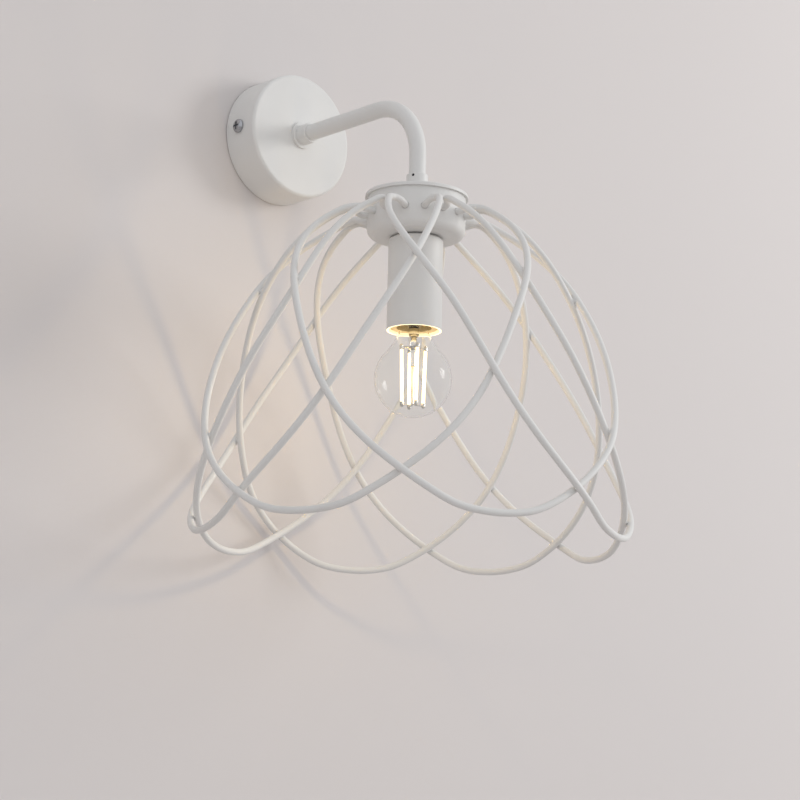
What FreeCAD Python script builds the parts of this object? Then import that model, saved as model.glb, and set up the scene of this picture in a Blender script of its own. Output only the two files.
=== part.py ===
"""Cage wall light: a round wall canopy, a bent arm, a hub and a bell cage of eight wire loops
round a small globe bulb.

Millimetres, +Z up.  The wall is the plane y = 0 and the light stands out along -Y.  The origin
is the middle of the bracket's back face, on the wall, level with the arm.
"""
import FreeCAD, Part
import math
import os

V = FreeCAD.Vector
X = V(1, 0, 0)
Y = V(0, 1, 0)
Z = V(0, 0, 1)

# ---- clearances -------------------------------------------------------------------------
FIT = 0.05              # radial, piece in its bore on one body
CLEAR = 0.3             # between pieces that move apart
TOUCH = 0.02            # between faces that bear on each other

# ---- canopy and wall bracket ------------------------------------------------------------
CANOPY_R = 39.0
CANOPY_DEPTH = 26.0
CANOPY_WALL = 1.2
CANOPY_EDGE_R = 2.0
BRACKET_T = 1.5
BRACKET_HEIGHT = 20.0
BRACKET_TAB_WIDTH = 13.0
BRACKET_TAB_DEPTH = 17.0
BRACKET_CABLE_R = 6.0
WALL_SCREW_PITCH = 54.0
WALL_SCREW_R = 2.25
SIDE_SCREW_Y = 12.0     # from the wall to the axis of the two side screws
SCREW_R = 2.0
SCREW_LENGTH = 8.0
SCREW_HEAD_R = 4.25
SCREW_HEAD_H = 2.6
SCREW_SLOT_W = 1.1
SCREW_SLOT_DEPTH = 1.5
EARTH_SCREW_X = 16.0
EARTH_SCREW_Z = -6.0
EARTH_HEAD_R = 3.5
EARTH_HEAD_H = 2.0
EARTH_WASHER_T = 0.6
EARTH_WASHER_R = 3.3

# ---- terminal block ---------------------------------------------------------------------
BLOCK_WIDTH = 26.0
BLOCK_HEIGHT = 13.0
BLOCK_DEPTH = 12.0
BLOCK_Z = 17.5
BLOCK_WAY_PITCH = 8.0
BLOCK_BARREL_R = 2.2
BLOCK_BARREL_BORE = 1.5
BLOCK_SCREW_R = 1.4
BLOCK_FIX_R = 1.3

# ---- arm --------------------------------------------------------------------------------
REACH = 132.0           # wall to the axis of the cage
ARM_R = 5.0
ARM_WALL = 1.2
ARM_BEND_R = 36.0       # to the tube's axis
ARM_TAIL = 9.0          # thread left inside the canopy
FLANGE_R = 8.4
FLANGE_T = 1.5
COUPLING_R = 6.3
COUPLING_LENGTH = 8.0
NUT_AF = 14.0           # across flats
NUT_T = 3.0
LOCK_WASHER_R = 8.0
LOCK_WASHER_T = 1.0

# ---- hub --------------------------------------------------------------------------------
HUB_TOP_Z = -61.0
LID_R = 30.3
LID_T = 2.2
LID_EDGE_R = 0.9
COLLAR_R = 6.3
COLLAR_HEIGHT = 12.7
GRUB_R = 0.8
GRUB_DOWN = 1.6         # collar's top to the screw's axis
GRUB_INSET = 0.3        # screw's end below the collar's skin
GRUB_SOCKET_DEPTH = 0.5
GRUB_TURN = 294.0       # degrees, from straight out of the wall
CUP_R = 28.8
CUP_WALL = 1.2
CUP_HEIGHT = 23.8       # below the lid
CUP_EDGE_R = 4.5
DRUM_R = 23.0
DRUM_WALL = 2.0
NIPPLE_BORE_R = 3.6
NIPPLE_IN_COLLAR = 5.5
NIPPLE_IN_HOLDER = 6.0
SPACER_R = 12.0
SPACER_T = 0.8

# ---- cage -------------------------------------------------------------------------------
WIRE_R = 2.0
WIRE_DROP = 14.0        # hub top to the row of wire holes
WIRE_HOLE_CLEAR = 0.15
WELD_GAP = 0.12         # left between two wires where they cross
LOOPS = 8
FIRST_LOOP = -67.5      # degrees, from straight out of the wall
LOOP_HALF_TURN = 78.75  # from a loop's middle to the hole its wire ends in
# Each loop is bent and welded by hand, so it stands a little off its even place:
LOOP_TURN = (-3.0, 2.0, 3.5, 0.5, -2.0, -4.5, 1.5, -1.5)
LOOP_SPREAD = (0.98, 0.98, 0.96, 1.07, 0.94, 0.95, 1.10, 1.02)
LOOP_LEVEL = (5, 6, 7, 3, 2, 1, 0, 4)      # 0 lies inside all the others, 7 outside
# Bell profile: degrees from the loop's middle, radius, depth below the wire holes.
BELL = (
    (0.0, 120.0, 192.0),
    (16.0, 122.5, 184.5),
    (34.5, 123.5, 156.5),
    (53.5, 113.7, 101.0),
    (66.5, 95.5, 54.0),
    (74.5, 78.0, 27.0),
    (81.0, 60.0, 9.5),
    (84.6, 49.0, 2.0),
    (85.9, 42.5, -1.2),
    (84.6, 38.2, -2.0),
    (81.6, 36.2, -1.4),
    (79.4, 34.4, -0.3),
    (LOOP_HALF_TURN, 31.5, 0.0),
)
LONG_ARCS = 13          # spans of a half loop before its hook
HOOK_ARCS = 8
HOOK_FROM = 0.80        # share of a half loop
SLOPE_STEP = 0.02       # share either side of a point, for the bell's slope there

# ---- lampholder and its sleeve ----------------------------------------------------------
SLEEVE_R = 16.0
SLEEVE_WALL = 1.2
SLEEVE_LENGTH = 54.8
HOLDER_R = 14.0
HOLDER_MOUTH_R = 10.2
HOLDER_MOUTH_DEPTH = 6.0
HOLDER_RECESS = 1.6     # holder's rim above the sleeve's edge
HOLDER_CAP_LENGTH = 16.4
HOLDER_CAP_WALL = 2.0
HOLDER_FLOOR = 6.7      # thickness that carries the contact and the terminals
SHELL_BORE_R = 7.25
SHELL_WALL = 0.4
SHELL_LENGTH = 21.0
SHELL_INSET = 1.5       # below the holder's floor
TAB_WIDTH = 4.0
TAB_T = 0.5
TAB_RISE = 3.0          # from the upper leaf to the lower
TAB_LENGTH = 9.0
TAB_RIVET_R = 1.0
TERMINAL_SIZE = 4.0
TERMINAL_OUT = 8.0      # off the axis
TERMINAL_HEIGHT = 6.0

# ---- bulb -------------------------------------------------------------------------------
BULB_R = 22.5
BULB_LENGTH = 78.0
BULB_NECK_R = 7.1       # where the sweep would run straight
BULB_WALL = 0.8
BULB_SHOULDER_R = 35.0  # sweep from globe to neck
CAP_R = 6.95
CAP_WALL = 0.3
CAP_LENGTH = 22.0
CAP_THREADS = 6
CAP_THREAD_PITCH = 2.82
CAP_THREAD_DEPTH = 0.6
CAP_SKIRT_H = 3.0
INSULATOR_H = 3.2
BUTTON_R = 2.4
BUTTON_H = 1.0
STEM_R = 3.0
STEM_LENGTH = 27.0
POST_R = 0.35
FILAMENT_R = 0.9
FILAMENT_LENGTH = 33.0
FILAMENTS = 4
FILAMENT_TURN = 65.0    # first stick's turn about the bulb's axis
FILAMENT_IN = 7.4       # circle of the lower ends
FILAMENT_OUT = 8.3      # circle of the upper ends

# ---- leads ------------------------------------------------------------------------------
LEAD_R = 1.1
LEAD_SIDE = 1.6         # each lead's axis off the tube's axis

# ---- places worked out from the sizes ---------------------------------------------------
FACE_Y = -CANOPY_DEPTH
LID_BOTTOM_Z = HUB_TOP_Z - LID_T
CUP_BOTTOM_Z = LID_BOTTOM_Z - CUP_HEIGHT
SLEEVE_TOP_Z = CUP_BOTTOM_Z - SPACER_T
SLEEVE_END_Z = SLEEVE_TOP_Z - SLEEVE_LENGTH
HOLDER_TOP_Z = SLEEVE_TOP_Z - SLEEVE_WALL
HOLDER_END_Z = SLEEVE_END_Z + HOLDER_RECESS
HOLDER_SEAM_Z = HOLDER_TOP_Z - HOLDER_CAP_LENGTH
HOLDER_FLOOR_Z = HOLDER_SEAM_Z - HOLDER_FLOOR
SHELL_TOP_Z = HOLDER_FLOOR_Z - SHELL_INSET
TAB_Z = HOLDER_FLOOR_Z - TAB_T - TAB_RISE
BULB_TOP_Z = TAB_Z - CLEAR
BULB_END_Z = BULB_TOP_Z - BULB_LENGTH
GLOBE_Z = BULB_END_Z + BULB_R
CAP_BOTTOM_Z = BULB_TOP_Z - CAP_LENGTH
GLASS_TOP_Z = CAP_BOTTOM_Z + CAP_SKIRT_H * 0.4
NIPPLE_TOP_Z = HUB_TOP_Z + NIPPLE_IN_COLLAR
NIPPLE_END_Z = HOLDER_TOP_Z - NIPPLE_IN_HOLDER
WIRE_Z = HUB_TOP_Z - WIRE_DROP
ARM_END_Z = NIPPLE_TOP_Z + CLEAR
BORE_R = ARM_R + FIT
WAY_PLACES = (-BLOCK_WAY_PITCH, BLOCK_WAY_PITCH)    # the block's own screw is between them


def axis_point(z):
    """A point on the upright axis through hub, sleeve and bulb."""
    return V(0, -REACH, z)


# ---- building blocks --------------------------------------------------------------------
def rod(radius, height, base, direction=Z):
    return Part.makeCylinder(radius, height, base, direction)


def ring(outer, inner, height, base, direction=Z):
    return rod(outer, height, base, direction).cut(rod(inner, height, base, direction))


def box(size_x, size_y, size_z, centre):
    return Part.makeBox(size_x, size_y, size_z, centre - V(size_x, size_y, size_z) * 0.5)


def turned(outline, base, direction=Z):
    """Revolve an outline of (radius, height) points, or ready edges, round an axis."""
    if isinstance(outline[0], tuple):
        points = [V(radius, 0, height) for radius, height in outline]
        wire = Part.makePolygon(points + points[:1])
    else:
        wire = Part.Wire(outline)
    solid = Part.Face(wire).revolve(V(0, 0, 0), Z, 360)
    turn = FreeCAD.Rotation(Z, direction)
    solid.Placement = FreeCAD.Placement(base, turn)
    return solid


def rounded(solid, radius, chosen):
    """Fillet the edges for which chosen(edge) is true."""
    edges = [edge for edge in solid.Edges if chosen(edge)]
    return solid.makeFillet(radius, edges)


def hexagon_nut(across, thickness, bore, base, direction):
    corner = across / math.sqrt(3)
    points = []
    for side in range(7):
        angle = math.radians(60 * side)
        points.append(V(corner * math.cos(angle), corner * math.sin(angle), 0))
    nut = Part.Face(Part.makePolygon(points)).extrude(V(0, 0, thickness))
    nut = nut.cut(rod(bore, thickness, V(0, 0, 0)))
    nut.Placement = FreeCAD.Placement(base, FreeCAD.Rotation(Z, direction))
    return nut


def cross_recess(width, depth, reach, base, direction):
    """A cross-shaped cutter for a screw head, sunk from base against direction."""
    bars = Part.makeBox(reach, width, depth, V(-reach / 2, -width / 2, -depth))
    bars = bars.fuse(Part.makeBox(width, reach, depth, V(-width / 2, -reach / 2, -depth)))
    bars.Placement = FreeCAD.Placement(base, FreeCAD.Rotation(Z, direction))
    return bars


def pan_screw(radius, length, head_radius, head_height, seat, direction):
    """A pan-head screw whose head bears at seat and looks along direction."""
    dome = head_height * 0.55
    outline = [
        (0, -length), (radius - 0.3, -length), (radius, -length + 0.5), (radius, 0),
        (head_radius, 0), (head_radius, head_height - dome),
        (head_radius * 0.86, head_height - dome * 0.45), (head_radius * 0.55, head_height),
        (0, head_height),
    ]
    screw = turned(outline, seat, direction)
    top = seat + direction * head_height
    return screw.cut(cross_recess(SCREW_SLOT_W, SCREW_SLOT_DEPTH, head_radius * 1.15, top, direction))


# ---- canopy -----------------------------------------------------------------------------
def wall_bracket():
    half = CANOPY_R - CANOPY_WALL - 1.0
    plate = box(2 * half, BRACKET_T, BRACKET_HEIGHT, V(0, -BRACKET_T / 2, 0))
    plate = plate.common(rod(CANOPY_R - CANOPY_WALL - CLEAR, BRACKET_T, V(0, 0, 0), -Y))
    tab_x = half - BRACKET_T / 2
    for side in (-1, 1):
        tab = box(BRACKET_T, BRACKET_TAB_DEPTH, BRACKET_TAB_WIDTH,
                  V(side * tab_x, -BRACKET_TAB_DEPTH / 2, 0))
        plate = plate.fuse(tab)
        screw_hole = rod(SCREW_R + FIT, 2 * BRACKET_T,
                         V(side * (tab_x - BRACKET_T), -SIDE_SCREW_Y, 0), X * side)
        plate = plate.cut(screw_hole)
        wall_hole = rod(WALL_SCREW_R, BRACKET_T, V(side * WALL_SCREW_PITCH / 2, 0, 0), -Y)
        plate = plate.cut(wall_hole)
    plate = plate.cut(rod(BRACKET_CABLE_R, BRACKET_T, V(0, 0, 0), -Y))
    earth_hole = rod(SCREW_R + FIT, BRACKET_T, V(EARTH_SCREW_X, 0, EARTH_SCREW_Z), -Y)
    ear = box(BLOCK_WIDTH * 0.7, BRACKET_T, BLOCK_Z, V(0, -BRACKET_T / 2, BLOCK_Z / 2 + 5.0))
    ear = ear.cut(rod(BRACKET_CABLE_R, BRACKET_T, V(0, 0, 0), -Y))
    ear = ear.cut(rod(BLOCK_FIX_R + FIT, BRACKET_T, V(0, 0, BLOCK_Z), -Y))
    return plate.fuse(ear).cut(earth_hole).removeSplitter()


def canopy_cover():
    body = rod(CANOPY_R, CANOPY_DEPTH, V(0, 0, 0), -Y)
    body = rounded(body, CANOPY_EDGE_R, lambda edge: abs(edge.BoundBox.YMin - FACE_Y) < 0.01)
    inside = rod(CANOPY_R - CANOPY_WALL, CANOPY_DEPTH - CANOPY_WALL, V(0, 0, 0), -Y)
    body = body.cut(inside)
    body = body.cut(rod(BORE_R, CANOPY_WALL * 2, V(0, FACE_Y - CANOPY_WALL / 2, 0), Y))
    for side in (-1, 1):
        body = body.cut(rod(SCREW_R + CLEAR, CANOPY_WALL * 4,
                            V(side * (CANOPY_R - CANOPY_WALL * 3), -SIDE_SCREW_Y, 0), X * side))
    return body


def canopy_screws():
    screws = []
    for side in (-1, 1):
        seat = V(side * (CANOPY_R + TOUCH), -SIDE_SCREW_Y, 0)
        screws.append(pan_screw(SCREW_R, SCREW_LENGTH, SCREW_HEAD_R, SCREW_HEAD_H, seat, X * side))
    return screws


def terminal_block():
    back_y = -BRACKET_T - TOUCH
    centre = V(0, back_y - BLOCK_DEPTH / 2, BLOCK_Z)
    block = box(BLOCK_WIDTH, BLOCK_DEPTH, BLOCK_HEIGHT, centre)
    block = block.cut(rod(BLOCK_FIX_R + FIT, BLOCK_DEPTH, V(0, back_y, BLOCK_Z), -Y))
    block = block.cut(rod(BLOCK_FIX_R * 2, BLOCK_DEPTH / 2,
                          V(0, back_y - BLOCK_DEPTH / 2, BLOCK_Z), -Y))
    for x in WAY_PLACES:
        base = V(x, centre.y, BLOCK_Z - BLOCK_HEIGHT / 2)
        block = block.cut(rod(BLOCK_BARREL_R + FIT, BLOCK_HEIGHT, base))
        screw_well = rod(BLOCK_SCREW_R + FIT, BLOCK_DEPTH / 2, V(x, centre.y, BLOCK_Z), -Y)
        block = block.cut(screw_well)
    return block


def terminal_barrels():
    middle_y = -BRACKET_T - TOUCH - BLOCK_DEPTH / 2
    barrels = []
    for x in WAY_PLACES:
        base = V(x, middle_y, BLOCK_Z - BLOCK_HEIGHT / 2 + 1.0)
        barrel = ring(BLOCK_BARREL_R, BLOCK_BARREL_BORE, BLOCK_HEIGHT - 2.0, base)
        barrels.append(barrel.cut(rod(BLOCK_SCREW_R + FIT, BLOCK_BARREL_R * 2,
                                      V(x, middle_y, BLOCK_Z), -Y)))
    return barrels


def terminal_screws():
    middle_y = -BRACKET_T - TOUCH - BLOCK_DEPTH / 2
    screws = []
    for x in WAY_PLACES:
        screw = rod(BLOCK_SCREW_R, BLOCK_DEPTH / 2 - 2.0, V(x, middle_y - 0.6, BLOCK_Z), -Y)
        slot_centre = V(x, middle_y - 0.6 - (BLOCK_DEPTH / 2 - 2.0), BLOCK_Z)
        screws.append(screw.cut(box(BLOCK_SCREW_R * 3, 1.2, 0.5, slot_centre)))
    return screws


def block_screw():
    """Fixes the terminal block to the bracket's ear."""
    seat_y = -BRACKET_T - TOUCH - BLOCK_DEPTH / 2
    shank = rod(BLOCK_FIX_R, -seat_y, V(0, -TOUCH, BLOCK_Z), -Y)
    head = rod(BLOCK_FIX_R * 1.8, 1.6, V(0, seat_y - TOUCH, BLOCK_Z), -Y)
    screw = shank.fuse(head)
    slot = box(BLOCK_FIX_R * 4, 1.0, 0.5, V(0, seat_y - 1.8, BLOCK_Z))
    return screw.cut(slot).removeSplitter()


def earth_screw():
    seat = V(EARTH_SCREW_X, -BRACKET_T - EARTH_WASHER_T - 2 * TOUCH, EARTH_SCREW_Z)
    length = BRACKET_T + EARTH_WASHER_T
    return pan_screw(SCREW_R, length, EARTH_HEAD_R, EARTH_HEAD_H, seat, -Y)


def earth_washer():
    """The washer under the earth screw, which the supply's earth wire is clamped by."""
    base = V(EARTH_SCREW_X, -BRACKET_T - TOUCH, EARTH_SCREW_Z)
    return ring(EARTH_WASHER_R, SCREW_R + FIT, EARTH_WASHER_T, base, -Y)


# ---- arm --------------------------------------------------------------------------------
def arm_path(start_y, end_z, sideways=0.0):
    """The line of the arm from inside the canopy out, round the bend and down."""
    bend_y = -REACH + ARM_BEND_R
    corner = V(sideways, bend_y, -ARM_BEND_R)
    half_turn = math.radians(45)
    middle = corner + V(0, -math.sin(half_turn), math.cos(half_turn)) * ARM_BEND_R
    first = V(sideways, start_y, 0)
    bend_in = V(sideways, bend_y, 0)
    bend_out = V(sideways, -REACH, -ARM_BEND_R)
    last = V(sideways, -REACH, end_z)
    edges = [
        Part.LineSegment(first, bend_in).toShape(),
        Part.Arc(bend_in, middle, bend_out).toShape(),
        Part.LineSegment(bend_out, last).toShape(),
    ]
    return Part.Wire(edges)


def swept(path, radius):
    start = path.OrderedVertexes[0].Point
    first = path.OrderedEdges[0]
    heading = first.tangentAt(first.FirstParameter)
    if first.Vertexes[0].Point.distanceToPoint(start) > TOUCH:
        heading = first.tangentAt(first.LastParameter) * -1
    circle = Part.Wire([Part.Circle(start, heading, radius).toShape()])
    return path.makePipeShell([circle], True, False)


def arm_tube():
    path = arm_path(FACE_Y + CANOPY_WALL + ARM_TAIL, ARM_END_Z)
    return swept(path, ARM_R).cut(swept(path, ARM_R - ARM_WALL))


def arm_flange():
    return ring(FLANGE_R, BORE_R, FLANGE_T, V(0, FACE_Y - TOUCH, 0), -Y)


def arm_coupling():
    base = V(0, FACE_Y - FLANGE_T - 2 * TOUCH, 0)
    body = ring(COUPLING_R, BORE_R, COUPLING_LENGTH, base, -Y)
    end_y = base.y - COUPLING_LENGTH
    return rounded(body, 0.5, lambda edge: edge.BoundBox.YMax < end_y + 0.01
                   and edge.BoundBox.XLength > COUPLING_R * 1.9)


def canopy_lock_washer():
    base = V(0, FACE_Y + CANOPY_WALL + TOUCH, 0)
    return ring(LOCK_WASHER_R, BORE_R, LOCK_WASHER_T, base, Y)


def canopy_nut():
    base = V(0, FACE_Y + CANOPY_WALL + LOCK_WASHER_T + 2 * TOUCH, 0)
    return hexagon_nut(NUT_AF, NUT_T, BORE_R, base, Y)


# ---- hub --------------------------------------------------------------------------------
def hub_collar():
    base = axis_point(HUB_TOP_Z + TOUCH)
    body = ring(COLLAR_R, BORE_R, COLLAR_HEIGHT, base)
    top_z = base.z + COLLAR_HEIGHT
    body = rounded(body, 0.6, lambda edge: edge.BoundBox.ZMin > top_z - 0.01
                   and edge.BoundBox.XLength > COLLAR_R * 1.9)
    return body.cut(rod(GRUB_R + FIT, COLLAR_R, grub_start(), outward(GRUB_TURN)))


def grub_start():
    """Inner end of the grub screw, on the arm."""
    height = HUB_TOP_Z + COLLAR_HEIGHT - GRUB_DOWN
    return axis_point(height) + outward(GRUB_TURN) * (ARM_R + TOUCH)


def grub_screw():
    way = outward(GRUB_TURN)
    length = COLLAR_R - ARM_R - GRUB_INSET
    screw = rod(GRUB_R, length, grub_start(), way)
    socket = rod(GRUB_R / 2, GRUB_SOCKET_DEPTH, grub_start() + way * (length - GRUB_SOCKET_DEPTH), way)
    return screw.cut(socket)


def threaded_nipple():
    height = NIPPLE_TOP_Z - NIPPLE_END_Z
    return ring(ARM_R, NIPPLE_BORE_R, height, axis_point(NIPPLE_END_Z))


def hub_lid():
    body = ring(LID_R, BORE_R, LID_T, axis_point(LID_BOTTOM_Z))
    return rounded(body, LID_EDGE_R, lambda edge: edge.BoundBox.ZMin > HUB_TOP_Z - 0.01
                   and edge.BoundBox.XLength > LID_R)


def hub_nut():
    return hexagon_nut(NUT_AF, NUT_T, BORE_R, axis_point(LID_BOTTOM_Z - TOUCH - NUT_T), Z)


def hub_cup():
    height = CUP_HEIGHT - TOUCH
    body = rod(CUP_R, height, axis_point(CUP_BOTTOM_Z))
    body = rounded(body, CUP_EDGE_R, lambda edge: edge.BoundBox.ZMax < CUP_BOTTOM_Z + 0.01)
    inner_r = CUP_R - CUP_WALL
    inside = rod(inner_r, height, axis_point(CUP_BOTTOM_Z + CUP_WALL))
    inside_edge = max(CUP_EDGE_R - CUP_WALL, CUP_WALL)
    inside = rounded(inside, inside_edge,
                     lambda edge: edge.BoundBox.ZMax < CUP_BOTTOM_Z + CUP_WALL + 0.01)
    body = body.cut(inside).cut(rod(BORE_R, CUP_WALL * 2, axis_point(CUP_BOTTOM_Z - 0.1)))
    for half in range(2 * LOOPS):
        way = outward(FIRST_LOOP + LOOP_HALF_TURN + half * 180.0 / LOOPS)
        hole = rod(WIRE_R + WIRE_HOLE_CLEAR, CUP_WALL * 4,
                   axis_point(WIRE_Z) + way * (CUP_R - CUP_WALL * 3), way)
        body = body.cut(hole)
    return body


def wire_drum():
    """The drum inside the hub that the sixteen wire ends are welded to."""
    top_z = LID_BOTTOM_Z - NUT_T - 2 * TOUCH
    bottom_z = CUP_BOTTOM_Z + CUP_WALL + TOUCH
    outline = [
        (BORE_R, top_z), (DRUM_R, top_z), (DRUM_R, bottom_z), (DRUM_R - DRUM_WALL, bottom_z),
        (DRUM_R - DRUM_WALL, top_z - DRUM_WALL), (BORE_R, top_z - DRUM_WALL),
    ]
    return turned(outline, axis_point(0))


def spacer_washer():
    return ring(SPACER_R, BORE_R, SPACER_T - 2 * TOUCH, axis_point(SLEEVE_TOP_Z + TOUCH))


# ---- cage -------------------------------------------------------------------------------
def outward(angle):
    """Unit vector out from the cage's axis, at an angle from straight out of the wall."""
    return V(math.sin(math.radians(angle)), -math.cos(math.radians(angle)), 0)


def smooth(value):
    value = min(max(value, 0.0), 1.0)
    return value * value * (3 - 2 * value)


def bell_curve():
    """The bell profile as one curve of (degrees, radius, height)."""
    points = [V(angle, radius, -drop) for angle, radius, drop in BELL]
    curve = Part.BSplineCurve()
    curve.interpolate(Points=points, InitialTangent=V(1, 0, 0), FinalTangent=V(0, -1, 0))
    return curve


def wire_angle(loop, side, share, curve):
    """Angle of a half loop at a share of its way from its middle to the hub."""
    loose = 1 - smooth((share - 0.5) / 0.35)
    spread = 1 + (LOOP_SPREAD[loop] - 1) * loose
    middle = FIRST_LOOP + loop * 360.0 / LOOPS + LOOP_TURN[loop] * loose
    return middle + side * spread * curve_at(curve, share).x


def curve_at(curve, share):
    return curve.value(share * curve.LastParameter)


def crossings(loop, side, curve):
    """Shares at which a half loop meets the other loops, each with +1 where it lies outside."""
    found = []
    steps = 90
    for other in range(LOOPS):
        if other == loop:
            continue
        gaps = []
        for step in range(steps):
            share = step / steps * 0.88
            gap = wire_angle(loop, side, share, curve) - wire_angle(other, -side, share, curve)
            gaps.append((share, (gap + 180.0) % 360.0 - 180.0))
        for (low, gap_low), (high, gap_high) in zip(gaps, gaps[1:]):
            if gap_low * gap_high <= 0 and abs(gap_low - gap_high) < 90:
                share = low + (high - low) * gap_low / (gap_low - gap_high)
                found.append((share, 1 if LOOP_LEVEL[loop] > LOOP_LEVEL[other] else -1))
    return sorted(found)


def lift_at(place, nodes):
    """How far a wire stands off the bell, eased from one crossing to the next."""
    for (left, lift_left), (right, lift_right) in zip(nodes, nodes[1:]):
        if left <= place <= right:
            ease = smooth((place - left) / max(right - left, 1e-6))
            return (lift_left + (lift_right - lift_left) * ease) * (WIRE_R + WELD_GAP / 2)
    return 0.0


def wire_point(loop, place, nodes, curve):
    """Centre of a loop's wire at place -1..1, from one hub hole to the other."""
    side = 1 if place >= 0 else -1
    share = abs(place)
    here = curve_at(curve, share)
    middle = min(max(share, 2.5 * SLOPE_STEP), 1 - SLOPE_STEP)
    ahead = curve_at(curve, middle + SLOPE_STEP)
    behind = curve_at(curve, middle - SLOPE_STEP)
    rise = ahead.z - behind.z
    run = ahead.y - behind.y
    length = math.hypot(rise, run)
    lift = lift_at(place, nodes)
    radius = here.y + lift * rise / length
    height = WIRE_Z + here.z - lift * run / length
    return axis_point(height) + outward(wire_angle(loop, side, share, curve)) * radius


def biarc(start, start_way, end, end_way):
    """Two arcs that leave start and reach end along the given unit directions."""
    span = end - start
    ways = start_way + end_way
    a = ways.dot(ways) - 4
    b = -2 * span.dot(ways)
    c = span.dot(span)
    if abs(a) < 1e-9:
        reach = -c / b
    else:
        reach = (-b - math.sqrt(b * b - 4 * a * c)) / (2 * a)
    first_corner = start + start_way * reach
    last_corner = end - end_way * reach
    joint = (first_corner + last_corner) * 0.5
    return [arc_by_corner(start, first_corner, joint), arc_by_corner(joint, last_corner, end)]


def arc_by_corner(start, corner, end):
    half = (end - start) * 0.5
    middle = start + half
    rise = corner - middle
    if rise.Length < 1e-4 * half.Length:
        return Part.LineSegment(start, end).toShape()
    bow = math.atan2(rise.Length, half.Length)
    top = middle + rise.normalize() * (half.Length * math.tan(bow / 2))
    return Part.Arc(start, top, end).toShape()


def loop_places():
    shares = [HOOK_FROM * step / LONG_ARCS for step in range(LONG_ARCS)]
    shares += [HOOK_FROM + (1 - HOOK_FROM) * step / HOOK_ARCS for step in range(HOOK_ARCS + 1)]
    return [-share for share in reversed(shares[1:])] + shares


def cage_loop(loop, curve):
    """One wire, from a hub hole down round its loop and back up to another hole."""
    nodes = [(-share, lift) for share, lift in reversed(crossings(loop, -1, curve))]
    nodes += crossings(loop, 1, curve)
    nodes = [(-HOOK_FROM - 0.1, 0)] + nodes + [(HOOK_FROM + 0.1, 0)]
    places = loop_places()
    points = [wire_point(loop, place, nodes, curve) for place in places]
    ways = []
    for place in places:
        before = wire_point(loop, max(place - 0.004, -1.0), nodes, curve)
        after = wire_point(loop, min(place + 0.004, 1.0), nodes, curve)
        ways.append((after - before).normalize())
    first_out = flat_way(points[0])
    last_out = flat_way(points[-1])
    ways[0] = first_out
    ways[-1] = last_out * -1
    tail = BELL[-1][1] - DRUM_R - TOUCH
    edges = [Part.LineSegment(points[0] - first_out * tail, points[0]).toShape()]
    for index in range(len(points) - 1):
        edges += biarc(points[index], ways[index], points[index + 1], ways[index + 1])
    edges.append(Part.LineSegment(points[-1], points[-1] - last_out * tail).toShape())
    return swept(Part.Wire(edges), WIRE_R)


def flat_way(point):
    """Unit vector from the cage's axis to a point, level."""
    return V(point.x, point.y + REACH, 0).normalize()


# ---- lampholder -------------------------------------------------------------------------
def lamp_sleeve():
    top_z = SLEEVE_TOP_Z
    outline = [
        (BORE_R, top_z), (SLEEVE_R - 1.0, top_z), (SLEEVE_R, top_z - 1.0),
        (SLEEVE_R, SLEEVE_END_Z), (SLEEVE_R - SLEEVE_WALL, SLEEVE_END_Z),
        (SLEEVE_R - SLEEVE_WALL, top_z - SLEEVE_WALL), (BORE_R, top_z - SLEEVE_WALL),
    ]
    return turned(outline, axis_point(0))


def holder_cap():
    """The lampholder's upper half, screwed on the nipple: it clamps the whole stack."""
    top_z = HOLDER_TOP_Z - TOUCH
    inner = HOLDER_R - HOLDER_CAP_WALL
    outline = [
        (BORE_R, top_z), (HOLDER_R - 2.0, top_z), (HOLDER_R, top_z - 3.0),
        (HOLDER_R, HOLDER_SEAM_Z + TOUCH), (inner, HOLDER_SEAM_Z + TOUCH),
        (inner, top_z - 4.0), (BORE_R, top_z - 6.0),
    ]
    return turned(outline, axis_point(0))


def holder_body():
    shell_r = SHELL_BORE_R + SHELL_WALL + FIT
    floor_z = HOLDER_FLOOR_Z
    mouth_z = HOLDER_END_Z + HOLDER_MOUTH_DEPTH
    outline = [
        (TAB_RIVET_R + FIT, HOLDER_SEAM_Z), (HOLDER_R, HOLDER_SEAM_Z), (HOLDER_R, HOLDER_END_Z),
        (HOLDER_MOUTH_R, HOLDER_END_Z), (HOLDER_MOUTH_R, mouth_z), (shell_r, mouth_z),
        (shell_r, floor_z), (TAB_RIVET_R + FIT, floor_z),
    ]
    body = turned(outline, axis_point(0))
    for side in (-1, 1):
        pocket = box(TERMINAL_SIZE + 2 * FIT, TERMINAL_SIZE + 2 * FIT, HOLDER_FLOOR,
                     axis_point(HOLDER_SEAM_Z - 1.0 + HOLDER_FLOOR / 2) + X * side * TERMINAL_OUT)
        body = body.cut(pocket)
    return body


def holder_terminals():
    """Two brass clamps on the holder's floor, each with its screw hole and lead hole."""
    clamps = []
    for side in (-1, 1):
        base_z = HOLDER_SEAM_Z - 1.0 + TOUCH
        centre = axis_point(base_z + TERMINAL_HEIGHT / 2) + X * side * TERMINAL_OUT
        clamp = box(TERMINAL_SIZE, TERMINAL_SIZE, TERMINAL_HEIGHT, centre)
        clamp = clamp.cut(rod(LEAD_R + FIT, TERMINAL_HEIGHT, lead_end(side)))
        clamp = clamp.cut(rod(0.8, TERMINAL_SIZE, centre + V(0, -TERMINAL_SIZE / 2, 1.8), Y))
        clamps.append(clamp)
    return clamps


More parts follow.
